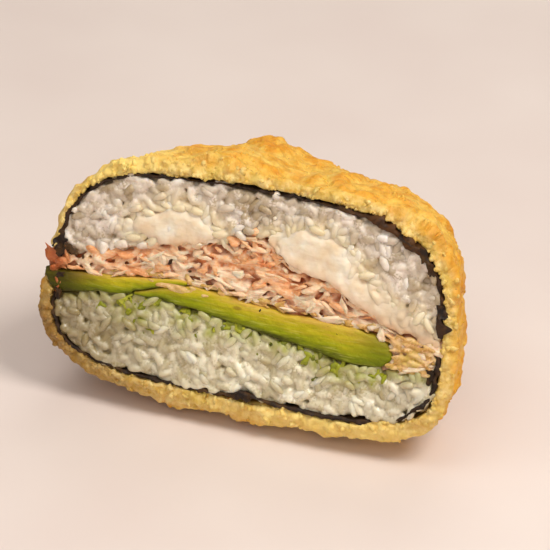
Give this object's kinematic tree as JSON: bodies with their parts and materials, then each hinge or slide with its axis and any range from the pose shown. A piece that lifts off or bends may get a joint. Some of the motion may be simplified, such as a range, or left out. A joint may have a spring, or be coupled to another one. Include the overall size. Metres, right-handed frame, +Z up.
{
  "type": "sushi burger",
  "caption": "Half of a battered, fried sushi burger, its cut face showing nori, rice, salmon, cream cheese and avocado; it stands on its round side.",
  "frame": {"origin": "centre of the footprint, on the surface that the half stands on", "axes": "+X along the cut face, to the right as it is looked at; the cut face looks towards -Y and leans back 12.5 degrees; +Z up"},
  "size_m": [0.1048, 0.0574, 0.0646],
  "materials": {
    "batter": "matte, crisp",
    "nori": "matte, damp",
    "rice": "satin, moist",
    "cream_cheese": "satin",
    "salmon": "matte, flaky",
    "avocado": "satin, moist"
  },
  "bodies": {
    "root": {"batter_crust": "batter", "nori_upper": "nori", "nori_lower": "nori", "rice_top": "rice", "rice_bottom": "rice", "cream_cheese_left": "cream_cheese", "cream_cheese_right": "cream_cheese", "salmon": "salmon", "avocado_left": "avocado", "avocado_right": "avocado"}
  },
  "joints": []
}
